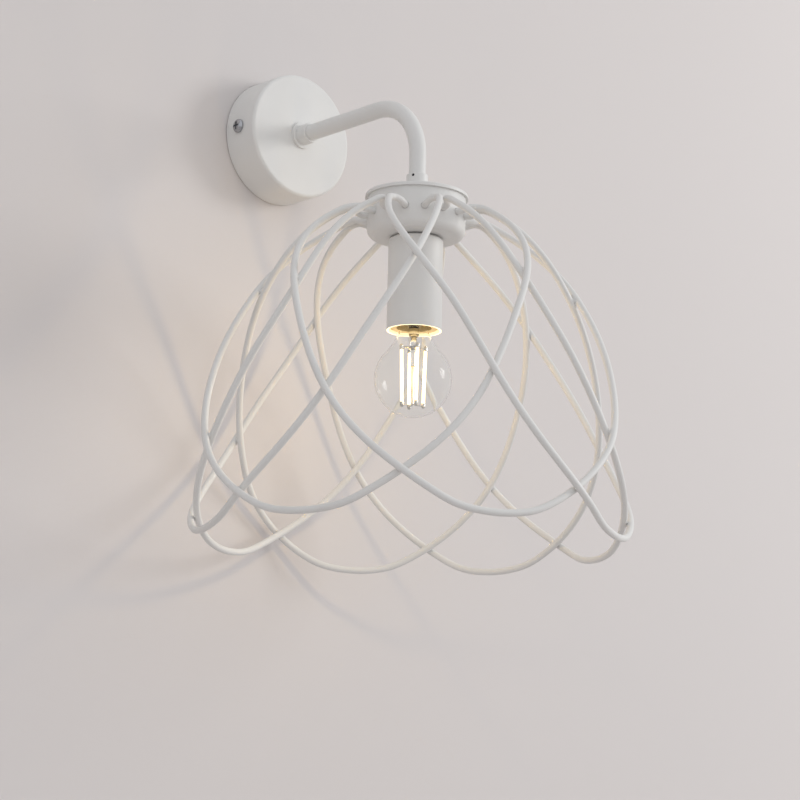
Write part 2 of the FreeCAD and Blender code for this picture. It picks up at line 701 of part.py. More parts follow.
def screw_shell():
    """The threaded metal shell that the lamp cap screws into."""
    base_z = SHELL_TOP_Z - SHELL_LENGTH
    shell = ring(SHELL_BORE_R + SHELL_WALL, SHELL_BORE_R, SHELL_LENGTH, axis_point(base_z))
    lug = ring(SHELL_BORE_R + SHELL_WALL, SHELL_BORE_R, SHELL_INSET, axis_point(SHELL_TOP_Z))
    lug = lug.common(box(TAB_WIDTH, SHELL_BORE_R, SHELL_INSET,
                         axis_point(SHELL_TOP_Z + SHELL_INSET / 2) + Y * SHELL_BORE_R))
    return shell.fuse(lug).removeSplitter()


def contact_rivet():
    """Holds the contact tongue to the holder's floor."""
    base_z = HOLDER_FLOOR_Z - TAB_T - 0.6
    shank = rod(TAB_RIVET_R, HOLDER_FLOOR + TAB_T + 1.0, axis_point(base_z))
    head = rod(TAB_RIVET_R * 2, 0.6 - TOUCH, axis_point(base_z))
    return shank.fuse(head).removeSplitter()


def contact_tab():
    """The springy centre contact: a tongue that leaves the rivet and comes back under it."""
    top_z = HOLDER_FLOOR_Z - TOUCH
    half = TAB_LENGTH / 2
    lower = TAB_Z
    points = [
        V(-half, 0, top_z), V(half * 0.8, 0, top_z), V(half, 0, top_z - 0.8),
        V(half, 0, lower + 0.8), V(half * 0.8, 0, lower), V(-half * 0.7, 0, lower),
        V(-half * 0.7, 0, lower + TAB_T), V(half * 0.7, 0, lower + TAB_T),
        V(half - TAB_T, 0, lower + 1.0), V(half - TAB_T, 0, top_z - 1.0),
        V(half * 0.7, 0, top_z - TAB_T), V(-half, 0, top_z - TAB_T),
    ]
    face = Part.Face(Part.makePolygon(points + points[:1]))
    tongue = face.extrude(V(0, TAB_WIDTH, 0))
    tongue.translate(V(0, -REACH - TAB_WIDTH / 2, 0))
    upper_leaf_z = top_z - TAB_T * 1.5
    hole = rod(TAB_RIVET_R + FIT, TAB_T * 3, axis_point(upper_leaf_z))
    return tongue.cut(hole)


# ---- bulb -------------------------------------------------------------------------------
def sweep_centre():
    """Middle of the sweep from globe to neck, as (radius, height) from the globe's middle."""
    out = BULB_NECK_R + BULB_SHOULDER_R
    return V(out, 0, math.sqrt((BULB_R + BULB_SHOULDER_R) ** 2 - out ** 2))


def neck_radius(z, offset):
    """Radius of the glass at a height on its sweep, drawn in by offset."""
    centre = sweep_centre()
    rise = centre.z - (z - GLOBE_Z)
    return centre.x - math.sqrt((BULB_SHOULDER_R + offset) ** 2 - rise ** 2)


def bulb_outline(offset):
    """Globe and neck as edges in the (radius, height) plane, drawn in by offset."""
    globe_r = BULB_R - offset
    fillet_r = BULB_SHOULDER_R + offset
    fillet = sweep_centre()
    towards = V(fillet.x, 0, fillet.z).normalize()
    meet = towards * globe_r
    slant = math.atan2(meet.z, meet.x)
    middle_angle = (slant - math.pi / 2) / 2
    globe_middle = V(math.cos(middle_angle), 0, math.sin(middle_angle)) * globe_r
    top_slant = math.asin((fillet.z - GLASS_TOP_Z + GLOBE_Z) / fillet_r)
    half_slant = (slant + top_slant) / 2
    neck_top = V(neck_radius(GLASS_TOP_Z, offset), 0, GLASS_TOP_Z - GLOBE_Z)
    fillet_middle = fillet + V(-math.cos(half_slant), 0, -math.sin(half_slant)) * fillet_r
    bottom = V(0, 0, -globe_r)
    return [
        Part.Arc(bottom, globe_middle, meet).toShape(),
        Part.Arc(meet, fillet_middle, neck_top).toShape(),
    ], bottom, neck_top


def glass_globe():
    outer, outer_bottom, outer_top = bulb_outline(0.0)
    inner, inner_bottom, inner_top = bulb_outline(BULB_WALL)
    edges = outer + [Part.LineSegment(outer_top, inner_top).toShape()]
    edges += list(reversed(inner))
    edges.append(Part.LineSegment(inner_bottom, outer_bottom).toShape())
    wire = Part.Wire(Part.__sortEdges__(edges))
    solid = Part.Face(wire).revolve(V(0, 0, 0), Z, 360)
    solid.translate(axis_point(GLOBE_Z))
    return solid


def screw_cap():
    """The metal screw cap: a rolled thread shown as round ridges, over a plain skirt."""
    skirt_z = CAP_BOTTOM_Z
    thread_z = skirt_z + CAP_SKIRT_H + 1.0
    root = CAP_R - CAP_THREAD_DEPTH
    skirt_bore = neck_radius(skirt_z, 0.0) + FIT
    skirt_r = skirt_bore + CAP_WALL
    outline = [(skirt_r, skirt_z), (skirt_r, skirt_z + CAP_SKIRT_H * 0.6),
               (root, skirt_z + CAP_SKIRT_H), (root, thread_z)]
    for turn in range(CAP_THREADS):
        z = thread_z + turn * CAP_THREAD_PITCH * 0.8
        step = CAP_THREAD_PITCH * 0.8
        outline += [(CAP_R, z + step * 0.35), (CAP_R, z + step * 0.6), (root, z + step * 0.95)]
    top_z = BULB_TOP_Z - INSULATOR_H
    inner = root - CAP_WALL
    outline += [(root, top_z), (inner, top_z), (inner, skirt_z + CAP_SKIRT_H),
                (skirt_bore, skirt_z + CAP_SKIRT_H * 0.6), (skirt_bore, skirt_z)]
    return turned(outline, axis_point(0))


def cap_insulator():
    """The glass bead that keeps the centre button apart from the cap."""
    base_z = BULB_TOP_Z - INSULATOR_H + TOUCH
    wide = CAP_R - CAP_THREAD_DEPTH
    outline = [
        (0, base_z), (wide, base_z), (BUTTON_R + 0.9, BULB_TOP_Z - BUTTON_H - 0.3),
        (BUTTON_R, BULB_TOP_Z - BUTTON_H), (0, BULB_TOP_Z - BUTTON_H),
    ]
    return turned(outline, axis_point(0))


def cap_button():
    base_z = BULB_TOP_Z - BUTTON_H + TOUCH
    outline = [(0, base_z), (BUTTON_R, base_z), (BUTTON_R * 0.7, BULB_TOP_Z), (0, BULB_TOP_Z)]
    return turned(outline, axis_point(0))


def glass_stem():
    """The glass foot inside the neck, flared where it is melted to the globe."""
    top_z = CAP_BOTTOM_Z + 1.0
    outline = [
        (0, top_z - STEM_LENGTH), (STEM_R * 0.6, top_z - STEM_LENGTH),
        (STEM_R * 0.6, top_z - STEM_LENGTH * 0.45), (STEM_R, top_z - STEM_LENGTH * 0.3),
        (STEM_R, top_z - 4.0), (neck_radius(top_z, BULB_WALL) - FIT, top_z), (0, top_z),
    ]
    return turned(outline, axis_point(0))


def stem_end_z():
    return CAP_BOTTOM_Z + 1.0 - STEM_LENGTH


def filament_top_z():
    return GLOBE_Z + FILAMENT_LENGTH * 0.55


def stick_way(index):
    return outward(FILAMENT_TURN + index * 360.0 / FILAMENTS)


def support_wires():
    """A spider of wires at each end of the filaments, on a post out of the stem."""
    tip = FILAMENT_R * (FILAMENT_OUT - FILAMENT_IN) / FILAMENT_LENGTH + TOUCH
    high = filament_top_z() + tip
    low = filament_top_z() - FILAMENT_LENGTH - tip - 2 * POST_R
    frames = []
    post_z = low - POST_R
    post_r = POST_R * 2.2
    post = rod(post_r, stem_end_z() - post_z - TOUCH, axis_point(post_z))
    for index in range(FILAMENTS):
        way = stick_way(index)
        start = axis_point(low + POST_R) + way * POST_R
        post = post.fuse(rod(POST_R, FILAMENT_IN - POST_R, start, way))
    frames.append(post)
    collar_r = STEM_R * 0.6 + TOUCH
    crown = ring(collar_r + 2 * POST_R, collar_r, 4 * POST_R, axis_point(high - POST_R))
    for index in range(FILAMENTS):
        way = stick_way(index)
        start = axis_point(high + POST_R) + way * (collar_r + POST_R)
        crown = crown.fuse(rod(POST_R, FILAMENT_OUT - collar_r - POST_R, start, way))
    frames.append(crown)
    return frames


def filaments():
    """Glowing sticks that lean in from the wide upper spider to the lower one."""
    sticks = []
    for index in range(FILAMENTS):
        way = stick_way(index)
        top = axis_point(filament_top_z()) + way * (FILAMENT_OUT - FILAMENT_R)
        bottom = axis_point(filament_top_z() - FILAMENT_LENGTH) + way * (FILAMENT_IN - FILAMENT_R)
        line = top - bottom
        sticks.append(rod(FILAMENT_R, line.Length, bottom, line))
    return sticks


# ---- leads ------------------------------------------------------------------------------
def lead_end(side):
    """Bottom of a lead, in its clamp on the lampholder's floor."""
    return V(side * TERMINAL_OUT, -REACH, HOLDER_SEAM_Z - 1.0 + TOUCH)


def leads():
    """Live and neutral, each from the terminal block through the arm to the lampholder."""
    made = []
    for side in (-1, 1):
        sideways = side * LEAD_SIDE
        canopy_y = FACE_Y + CANOPY_WALL + ARM_TAIL + 3.0
        barrel_x = side * BLOCK_WAY_PITCH
        barrel_z = BLOCK_Z - BLOCK_HEIGHT / 2 + 2.0
        middle_y = -BRACKET_T - TOUCH - BLOCK_DEPTH / 2
        route = [
            V(barrel_x, middle_y, barrel_z), V(barrel_x, middle_y, barrel_z - 5.5),
            V(sideways, canopy_y + 1.5, 0), V(sideways, canopy_y - 8.0, 0),
        ]
        arm = arm_path(route[-1].y, NIPPLE_END_Z + 2.0, sideways)
        foot = [
            V(sideways, -REACH, NIPPLE_END_Z + 2.0), V(sideways, -REACH, NIPPLE_END_Z - 1.0),
            lead_end(side) + Z * (TERMINAL_HEIGHT + 2.6),
            lead_end(side) + Z * (TERMINAL_HEIGHT + 0.2),
            lead_end(side) + Z,
        ]
        edges = rounded_route(route) + arm.OrderedEdges + rounded_route(foot)
        made.append(swept(Part.Wire(edges), LEAD_R))
    return made


def rounded_route(points):
    """Straight runs joined by tangent arcs, each arc as large as its runs allow."""
    edges = []
    here = points[0]
    for before, corner, after in zip(points, points[1:], points[2:]):
        run_in = corner - before
        run_out = after - corner
        take = 0.45 * min(run_in.Length, run_out.Length)
        start = corner - run_in.normalize() * take
        end = corner + run_out.normalize() * take
        edges.append(Part.LineSegment(here, start).toShape())
        edges.append(arc_by_corner(start, corner, end))
        here = end
    edges.append(Part.LineSegment(here, points[-1]).toShape())
    return edges


# ---- the whole light --------------------------------------------------------------------
def pieces():
    made = {
        "wall_bracket": wall_bracket(),
        "canopy_cover": canopy_cover(),
        "canopy_screws": canopy_screws(),
        "terminal_block": terminal_block(),
        "terminal_barrels": terminal_barrels(),
        "terminal_screws": terminal_screws(),
        "block_screw": block_screw(),
        "earth_screw": earth_screw(),
        "earth_washer": earth_washer(),
        "canopy_nut": canopy_nut(),
        "canopy_lock_washer": canopy_lock_washer(),
        "arm_flange": arm_flange(),
        "arm_coupling": arm_coupling(),
        "arm_tube": arm_tube(),
        "hub_collar": hub_collar(),
        "grub_screw": grub_screw(),
        "threaded_nipple": threaded_nipple(),
        "hub_lid": hub_lid(),
        "hub_nut": hub_nut(),
        "hub_cup": hub_cup(),
        "wire_drum": wire_drum(),
        "spacer_washer": spacer_washer(),
        "lamp_sleeve": lamp_sleeve(),
        "holder_cap": holder_cap(),
        "holder_body": holder_body(),
        "holder_terminals": holder_terminals(),
        "screw_shell": screw_shell(),
        "contact_rivet": contact_rivet(),
        "contact_tab": contact_tab(),
        "leads": leads(),
        "glass_globe": glass_globe(),
        "screw_cap": screw_cap(),
        "cap_insulator": cap_insulator(),
        "cap_button": cap_button(),
        "glass_stem": glass_stem(),
        "support_wires": support_wires(),
        "filaments": filaments(),
    }
    curve = bell_curve()
    for loop in range(LOOPS):
        made["cage_loop_%d" % (loop + 1)] = cage_loop(loop, curve)
    return made


def main():
    os.makedirs("parts", exist_ok=True)
    for name, shape in pieces().items():
        if isinstance(shape, list):
            shape = Part.makeCompound(shape)
        shape.exportStep(os.path.join("parts", name + ".step"))
        print(name, len(shape.Solids), "solids", round(shape.Volume, 1), shape.isValid())


main()
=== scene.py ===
"""Dresses the cage wall light: its powder coat, metals, glass, weld beads, wall, lamps and camera."""
import math

import bpy
from bpy.props import FloatProperty, FloatVectorProperty, PointerProperty
from mathutils import Matrix, Vector
from mathutils.bvhtree import BVHTree


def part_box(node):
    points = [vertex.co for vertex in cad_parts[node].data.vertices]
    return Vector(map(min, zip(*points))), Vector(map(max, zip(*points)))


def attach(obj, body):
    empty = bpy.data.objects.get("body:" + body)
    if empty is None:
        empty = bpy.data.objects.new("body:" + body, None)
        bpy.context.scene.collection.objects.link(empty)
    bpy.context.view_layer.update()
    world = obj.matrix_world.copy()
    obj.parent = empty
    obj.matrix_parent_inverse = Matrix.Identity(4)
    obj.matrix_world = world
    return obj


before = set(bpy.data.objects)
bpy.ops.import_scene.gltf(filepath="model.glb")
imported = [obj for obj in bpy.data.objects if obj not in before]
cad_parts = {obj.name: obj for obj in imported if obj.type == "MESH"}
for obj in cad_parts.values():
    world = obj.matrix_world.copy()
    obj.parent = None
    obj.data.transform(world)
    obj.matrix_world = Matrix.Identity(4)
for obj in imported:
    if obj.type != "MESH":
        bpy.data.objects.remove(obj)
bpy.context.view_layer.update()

bl_info = {
    "name": "Cage wall light",
    "version": (1, 0, 0),
    "blender": (4, 5, 0),
    "location": "View3D > Sidebar > Cage light",
    "description": "Finishes, weld beads, wall and lamps for a bell cage wall light",
    "category": "Object",
}

COATED = (
    "canopy_cover", "arm_flange", "arm_coupling", "arm_tube", "hub_collar", "hub_lid", "hub_cup",
    "lamp_sleeve", "cage_loop_1", "cage_loop_2", "cage_loop_3", "cage_loop_4", "cage_loop_5",
    "cage_loop_6", "cage_loop_7", "cage_loop_8",
)
LOOPS = tuple(name for name in COATED if name.startswith("cage_loop"))
ZINC = (
    "wall_bracket", "canopy_nut", "canopy_lock_washer", "hub_nut", "wire_drum", "spacer_washer",
    "threaded_nipple", "block_screw", "earth_screw", "earth_washer", "terminal_screws",
)
BRASS = ("terminal_barrels", "holder_terminals", "screw_shell", "contact_rivet", "contact_tab")

# lengths in metres
STICKS = 4                          # filaments in the bulb
STICK_TURN = math.radians(65.0)     # turn of one of them about the bulb, from the wall's X
STICK_END = 0.004                   # how far from its tip a filament counts as its end
STICK_CAP_RADIUS = 0.00115
STICK_CAP_LENGTH = 0.0022
BULB_LAMP_RADIUS = 0.009
WELD_NEAR = 0.0004                  # how far each wire is swollen in the search for welds
WELD_APART = 0.006                  # two welds of one pair of wires lie further apart
SEARCH_STEPS = 12                   # steps from wire to wire that close in on a gap's middle
BEAD_SPIN = math.radians(37.0)      # turn between one bead and the next, so that none match
SMOOTH_ANGLE = math.radians(40.0)
NOISE_LOW, NOISE_HIGH = 0.3, 0.7    # noise runs between these for nearly all of a surface
SHEET_WIDTH = 9.0
WALL_BEHIND = (0, 0.0006, 0)        # just behind the canopy's back
FLOOR_PLACE = (0, -2.0, -1.7)
LIGHT_MIDDLE = (0, -0.10, -0.12)
KEY_PLACE = (1.75, -1.30, 0.42)
KEY_WIDTH = 0.80
KEY_COLOUR = (1.0, 0.99, 0.97)
ROOM_COLOUR = (0.96, 0.97, 1.0, 1.0)
CAMERA_PLACE = (-0.94430, -1.14092, -0.48164)
CAMERA_RIGHT = (0.73035627, -0.68272967, 0.02144554)
CAMERA_UP = (-0.1592215, -0.13962962, 0.97731882)
CAMERA_SENSOR = 36.0                # millimetres
CAMERA_NEAR, CAMERA_FAR = 0.01, 50.0


# ---- sizes and colours a user would change ------------------------------------------------
class CoatSettings(bpy.types.PropertyGroup):
    """The powder coat on canopy, arm, hub, sleeve and cage."""
    colour: FloatVectorProperty(
        name="Coat colour", description="Off-white of the powder coat", subtype="COLOR", size=3,
        default=(0.72, 0.715, 0.695), min=0.0, max=1.0)
    grain: FloatProperty(
        name="Grain height", description="Height of the coat's orange peel", subtype="DISTANCE",
        default=0.00004, min=0.0, max=0.001)
    gloss: FloatProperty(
        name="Roughness", description="Roughness of the coat", subtype="FACTOR",
        default=0.52, min=0.0, max=1.0)


class BulbSettings(bpy.types.PropertyGroup):
    """The lit globe bulb."""
    glow: FloatVectorProperty(
        name="Glow colour", description="Colour of the lit filaments", subtype="COLOR", size=3,
        default=(1.0, 0.74, 0.40), min=0.0, max=1.0)
    strength: FloatProperty(
        name="Filament strength", description="How strongly the filaments shine",
        default=2.1, min=0.0, max=60.0)
    lamp_power: FloatProperty(
        name="Lamp power", description="Light that the bulb throws on wall and wires",
        default=0.15, min=0.0, max=5.0, subtype="POWER")


class WeldSettings(bpy.types.PropertyGroup):
    """The weld beads where two wires cross."""
    reach: FloatProperty(
        name="Bead radius", description="Radius of a weld bead between two wires",
        subtype="DISTANCE", default=0.0017, min=0.0005, max=0.004)


class StageSettings(bpy.types.PropertyGroup):
    """Wall, lamps and view."""
    wall: FloatVectorProperty(
        name="Wall colour", description="Pale paint of the wall", subtype="COLOR", size=3,
        default=(0.67, 0.635, 0.62), min=0.0, max=1.0)
    key_power: FloatProperty(
        name="Key lamp", description="Power of the large lamp from the right", subtype="POWER",
        default=15.0, min=0.0, max=500.0)
    sky: FloatProperty(
        name="Room light", description="Strength of the even light all round",
        default=0.84, min=0.0, max=3.0)
    lens: FloatProperty(
        name="Lens", description="Focal length of the camera in millimetres",
        default=110.34, min=20.0, max=300.0)


# ---- small tools --------------------------------------------------------------------------
def deselect():
    """Leave nothing selected, so that an operator acts on the new piece alone."""
    bpy.ops.object.select_all(action="DESELECT")


def wear(names, material):
    """Give each named CAD node the material in every slot it has."""
    for name in names:
        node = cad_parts[name]
        if not node.material_slots:
            node.data.materials.append(material)
        for place in node.material_slots:
            place.material = material


class Finish:
    """A node material that reads the piece's own coordinates."""

    def __init__(self, name, colour, roughness, metallic=0.0):
        self.material = bpy.data.materials.new(name)
        self.material.use_nodes = True
        self.nodes = self.material.node_tree.nodes
        self.links = self.material.node_tree.links
        self.shader = self.nodes["Principled BSDF"]
        self.place = self.nodes.new("ShaderNodeTexCoord").outputs["Object"]
        self.set("Base Color", (*colour, 1.0))
        self.set("Roughness", roughness)
        self.set("Metallic", metallic)
        self.colour = colour
        self.normal = None

    def set(self, socket, value):
        self.shader.inputs[socket].default_value = value

    def noise(self, scale, detail=3.0, stretch=(1.0, 1.0, 1.0)):
        """A cloud pattern on the piece; a stretch above 1 makes its marks shorter that way."""
        mapping = self.nodes.new("ShaderNodeMapping")
        mapping.inputs["Scale"].default_value = stretch
        self.links.new(self.place, mapping.inputs["Vector"])
        noise = self.nodes.new("ShaderNodeTexNoise")
        noise.inputs["Scale"].default_value = scale
        noise.inputs["Detail"].default_value = detail
        self.links.new(mapping.outputs["Vector"], noise.inputs["Vector"])
        return noise.outputs["Fac"]

    def ramp(self, factor, stops):
        """Colours along a factor, from two or more stops."""
        ramp = self.nodes.new("ShaderNodeValToRGB")
        for index, (place, colour) in enumerate(stops):
            if index > 1:
                ramp.color_ramp.elements.new(place)
            ramp.color_ramp.elements[index].position = place
            ramp.color_ramp.elements[index].color = (*colour, 1.0)
        self.links.new(factor, ramp.inputs["Fac"])
        return ramp.outputs["Color"]

    def tint(self, factor, darker, lighter):
        """Vary the base colour between two shares of itself."""
        dark = tuple(part * darker for part in self.colour)
        light = tuple(min(part * lighter, 1.0) for part in self.colour)
        self.links.new(self.ramp(factor, ((NOISE_LOW, dark), (NOISE_HIGH, light))),
                       self.shader.inputs["Base Color"])

    def vary(self, socket, factor, low, high):
        """Vary a number of the shader between two values."""
        spread = self.nodes.new("ShaderNodeMapRange")
        spread.inputs["From Min"].default_value = NOISE_LOW
        spread.inputs["From Max"].default_value = NOISE_HIGH
        spread.inputs["To Min"].default_value = low
        spread.inputs["To Max"].default_value = high
        self.links.new(factor, spread.inputs["Value"])
        self.links.new(spread.outputs["Result"], self.shader.inputs[socket])

    def bump(self, factor, height, strength):
        """Raise a grain, on top of any grain set before."""
        bump = self.nodes.new("ShaderNodeBump")
        bump.inputs["Strength"].default_value = strength
        bump.inputs["Distance"].default_value = height
        self.links.new(factor, bump.inputs["Height"])
        if self.normal:
            self.links.new(self.normal, bump.inputs["Normal"])
        self.normal = bump.outputs["Normal"]
        self.links.new(self.normal, self.shader.inputs["Normal"])


# ---- finishes -----------------------------------------------------------------------------
def powder_coat(settings):
    coat = Finish("powder_coat", tuple(settings.colour), settings.gloss)
    coat.tint(coat.noise(26.0, 2.0), 0.975, 1.02)
    coat.vary("Roughness", coat.noise(70.0, 3.0), settings.gloss - 0.06, settings.gloss + 0.08)
    coat.bump(coat.noise(950.0, 2.0), settings.grain, 0.6)
    coat.bump(coat.noise(240.0, 1.0), settings.grain * 2.0, 0.35)
    coat.set("Specular IOR Level", 0.42)
    return coat.material


def weld_coat(settings):
    """The same coat where it has run over a weld: a little lumpier."""
    coat = Finish("weld_coat", tuple(settings.colour), settings.gloss)
    coat.tint(coat.noise(160.0, 2.0), 0.95, 1.01)
    coat.bump(coat.noise(700.0, 3.0), settings.grain * 4.0, 0.7)
    return coat.material


def zinc_plate():
    zinc = Finish("zinc_plate", (0.60, 0.61, 0.63), 0.34, 1.0)
    zinc.tint(zinc.noise(120.0, 4.0), 0.85, 1.08)
    zinc.vary("Roughness", zinc.noise(300.0, 3.0), 0.27, 0.44)
    zinc.bump(zinc.noise(1400.0, 2.0, (1.0, 6.0, 1.0)), 0.00002, 0.5)
    return zinc.material


def chrome_painted_dark_reflection():
    # painted reflection: the chrome's base colour is set darker than its own, to stand in for dark
    # surroundings reflected in it
    plate = Finish("chrome_painted_dark_reflection", (0.44, 0.45, 0.47), 0.14, 1.0)
    plate.tint(plate.noise(400.0, 3.0), 0.9, 1.05)
    plate.vary("Roughness", plate.noise(900.0, 2.0), 0.09, 0.22)
    plate.bump(plate.noise(1800.0, 2.0), 0.00001, 0.4)
    return plate.material


def drawn_brass():
    brass = Finish("drawn_brass", (0.74, 0.55, 0.26), 0.30, 1.0)
    brass.tint(brass.noise(200.0, 4.0), 0.82, 1.06)
    brass.vary("Roughness", brass.noise(500.0, 3.0), 0.24, 0.42)
    brass.bump(brass.noise(1500.0, 2.0, (1.0, 1.0, 5.0)), 0.00001, 0.5)
    return brass.material


def nickel_cap():
    nickel = Finish("nickel_cap", (0.66, 0.64, 0.60), 0.24, 1.0)
    nickel.tint(nickel.noise(150.0, 3.0), 0.86, 1.05)
    nickel.vary("Roughness", nickel.noise(600.0, 3.0), 0.18, 0.34)
    return nickel.material


def black_screw():
    steel = Finish("black_screw", (0.035, 0.035, 0.038), 0.38, 0.6)
    steel.tint(steel.noise(600.0, 3.0), 0.8, 1.6)
    steel.bump(steel.noise(1500.0, 2.0), 0.00001, 0.5)
    return steel.material


def moulded(name, colour, roughness, mottle):
    """A moulded plastic or glass bead with a faint mottle."""
    plastic = Finish(name, colour, roughness)
    plastic.tint(plastic.noise(mottle, 2.0), 0.95, 1.03)
    plastic.vary("Roughness", plastic.noise(350.0, 3.0), roughness - 0.05, roughness + 0.08)
    plastic.bump(plastic.noise(1100.0, 2.0), 0.00002, 0.5)
    return plastic.material


def clear_glass():
    glass = Finish("clear_glass", (0.97, 0.98, 0.98), 0.0)
    glass.set("Transmission Weight", 1.0)
    glass.set("IOR", 1.17)
    glass.bump(glass.noise(18.0, 1.0), 0.00025, 0.25)
    return glass.material


def stem_glass():
    glass = Finish("stem_glass", (0.95, 0.96, 0.95), 0.04)
    glass.set("Transmission Weight", 1.0)
    glass.set("IOR", 1.5)
    glass.bump(glass.noise(120.0, 2.0), 0.0004, 0.5)
    return glass.material


def lit_filament(settings):
    """Phosphor-coated sticks: brightest in bands along the stick."""
    glow = Finish("lit_filament", (0.9, 0.7, 0.35), 0.6)
    bands = glow.noise(700.0, 2.0, (0.3, 0.3, 1.0))
    pale = tuple(0.55 * part + 0.45 for part in settings.glow)
    colour = glow.ramp(bands, ((NOISE_LOW, tuple(settings.glow)), (NOISE_HIGH, pale)))
    glow.links.new(colour, glow.shader.inputs["Emission Color"])
    glow.set("Emission Strength", settings.strength)
    return glow.material


# ---- weld beads ---------------------------------------------------------------------------
def swollen(name, by):
    """The node's triangles as a search tree, each moved out along its own normal."""
    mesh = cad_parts[name].data
    corners = []
    faces = []
    for face in mesh.polygons:
        first = len(corners)
        corners += [mesh.vertices[index].co + face.normal * by for index in face.vertices]
        faces.append(tuple(range(first, first + len(face.vertices))))
    return BVHTree.FromPolygons(corners, faces)


def touching_places():
    """Where two wires of the cage all but touch: the middle of each gap and its direction."""
    plain = {name: swollen(name, 0.0) for name in LOOPS}
    wide = {name: swollen(name, WELD_NEAR) for name in LOOPS}
    places = []
    for index, first in enumerate(LOOPS):
        for second in LOOPS[index + 1:]:
            found = []
            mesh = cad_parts[first].data
            for face_index, _ in wide[first].overlap(wide[second]):
                here = mesh.polygons[face_index].center
                for _ in range(SEARCH_STEPS):
                    there = plain[second].find_nearest(here)[0]
                    here = plain[first].find_nearest(there)[0]
                middle = (here + there) / 2
                if all((middle - other[0]).length > WELD_APART for other in found):
                    found.append((middle, (there - here).normalized()))
            places += found
    return places


def stick_ends():
    """The middle of each end of each filament, and the way out along the stick."""
    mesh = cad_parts["filaments"].data
    low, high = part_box("filaments")
    hub = (low + high) / 2
    groups = {}
    for vertex in mesh.vertices:
        place = vertex.co
        if low.z + STICK_END < place.z < high.z - STICK_END:
            continue
        turn = math.atan2(place.y - hub.y, place.x - hub.x) - STICK_TURN
        stick = round(turn / math.tau * STICKS) % STICKS
        groups.setdefault((stick, place.z > hub.z), []).append(place)
    middles = {key: sum(places, Vector()) / len(places) for key, places in groups.items()}
    ends = []
    for (stick, upper), middle in middles.items():
        way = (middle - middles[(stick, not upper)]).normalized()
        ends.append((middle, way))
    return ends


def model_end_cap(radius, length):
    """A crimped metal end for a filament: a short rolled collar that narrows outwards."""
    deselect()
    bpy.ops.mesh.primitive_cylinder_add(vertices=20, radius=radius, depth=length)
    cap = bpy.context.object
    bpy.ops.object.mode_set(mode="EDIT")
    bpy.ops.mesh.select_all(action="DESELECT")
    bpy.ops.object.mode_set(mode="OBJECT")
    for face in cap.data.polygons:
        face.select = face.normal.z > 0.9
    bpy.ops.object.mode_set(mode="EDIT")
    bpy.ops.mesh.inset(thickness=radius * 0.35, depth=radius * 0.25)
    bpy.ops.mesh.extrude_region_move(TRANSFORM_OT_translate={"value": (0.0, 0.0, radius * 0.4)})
    bpy.ops.mesh.select_all(action="SELECT")
    bpy.ops.mesh.bevel(offset=radius * 0.1, segments=2)
    bpy.ops.object.mode_set(mode="OBJECT")
    bpy.ops.object.shade_smooth_by_angle(angle=SMOOTH_ANGLE)
    return cap


def join_as(name, copies, material, body):
    """Join copies into one piece that rides on a body."""
    deselect()
    for copy in copies:
        copy.select_set(True)
    bpy.context.view_layer.objects.active = copies[0]
    bpy.ops.object.join()
    piece = bpy.context.object
    piece.name = name
    piece.data.materials.clear()
    piece.data.materials.append(material)
    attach(piece, body)
    return piece


def set_copy(pattern, place, way, spin):
    """A copy of the pattern with its own mesh, turned so that its Z axis runs along way."""
    copy = pattern.copy()
    copy.data = pattern.data.copy()
    turn = way.to_track_quat("Z", "Y").to_matrix().to_4x4()
    copy.data.transform(Matrix.Translation(place) @ turn @ Matrix.Rotation(spin, 4, "Z"))
    bpy.context.collection.objects.link(copy)
    return copy


def model_bead(reach):
    """One weld bead at the origin: a squat ball, flattened and made uneven."""
    deselect()
    bpy.ops.mesh.primitive_ico_sphere_add(subdivisions=3, radius=reach)
    bead = bpy.context.object
    bpy.ops.object.mode_set(mode="EDIT")
    bpy.ops.mesh.select_all(action="SELECT")
    bpy.ops.transform.resize(value=(1.0, 1.0, 0.72))
    bpy.ops.transform.vertex_random(offset=reach * 0.06, uniform=1.0, seed=4)
    bpy.ops.mesh.vertices_smooth(factor=0.5, repeat=2)
    bpy.ops.object.mode_set(mode="OBJECT")
    bpy.ops.object.shade_smooth()
    return bead


# ---- operators ----------------------------------------------------------------------------
class LIGHT_OT_coat(bpy.types.Operator):
    """Powder coat the canopy, arm, hub, sleeve and cage"""
    bl_idname = "cagelight.coat"
    bl_label = "Powder coat"

    def execute(self, context):
        wear(COATED, powder_coat(context.scene.cage_coat))
        return {"FINISHED"}


class LIGHT_OT_metal(bpy.types.Operator):
    """Plate the bracket, nuts, washers, screws and contacts"""
    bl_idname = "cagelight.metal"
    bl_label = "Plated metal"

    def execute(self, context):
        wear(ZINC, zinc_plate())
        wear(("canopy_screws",), chrome_painted_dark_reflection())
        wear(("grub_screw",), black_screw())
        wear(BRASS, drawn_brass())
        wear(("screw_cap", "cap_button"), nickel_cap())
        wear(("support_wires",), zinc_plate())
        return {"FINISHED"}


class LIGHT_OT_plastic(bpy.types.Operator):
    """Finish the terminal block, lampholder, leads and the cap's bead"""
    bl_idname = "cagelight.plastic"
    bl_label = "Moulded pieces"

    def execute(self, context):
        wear(("terminal_block",), moulded("block_nylon", (0.78, 0.78, 0.74), 0.45, 60.0))
        wear(("holder_cap", "holder_body"), moulded("holder_plastic", (0.22, 0.19, 0.13), 0.42, 90.0))
        wear(("leads",), moulded("lead_sleeve", (0.70, 0.70, 0.66), 0.38, 140.0))
        wear(("cap_insulator",), moulded("black_bead", (0.02, 0.02, 0.022), 0.16, 200.0))
        return {"FINISHED"}


